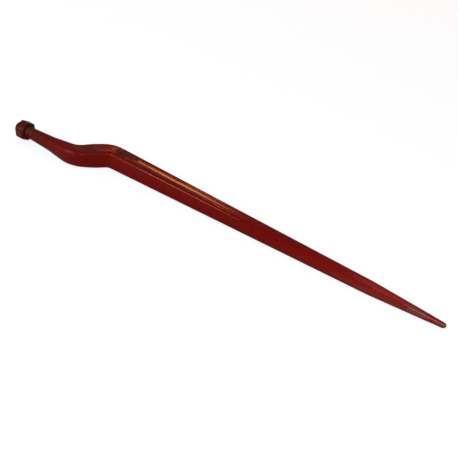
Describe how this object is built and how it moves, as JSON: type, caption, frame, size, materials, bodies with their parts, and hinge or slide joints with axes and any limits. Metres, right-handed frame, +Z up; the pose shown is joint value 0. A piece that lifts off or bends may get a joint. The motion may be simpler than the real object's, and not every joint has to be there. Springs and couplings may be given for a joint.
{
  "type": "loader tine",
  "caption": "Cranked loader tine: tapered square spike with fluted sides, blunt point, double bend, conical shank, threaded end and hexagon nut.",
  "frame": {"origin": "on the shank's axis, at the small end of its conical seat", "axes": "+X along the shank towards the point, +Y from the shank's axis towards the bar's, across the crank, +Z up with the tine lying on its side"},
  "size_m": [0.82, 0.0818, 0.0364],
  "materials": {
    "painted_forging": "dark red paint over a forged surface, satin, thin and worn along the ridges and towards the point",
    "painted_nut": "the same dark red paint, dulled and scuffed, worn to bare steel at one corner"
  },
  "bodies": {
    "root": {"tine": "painted_forging", "hex_nut": "painted_nut"}
  },
  "joints": []
}
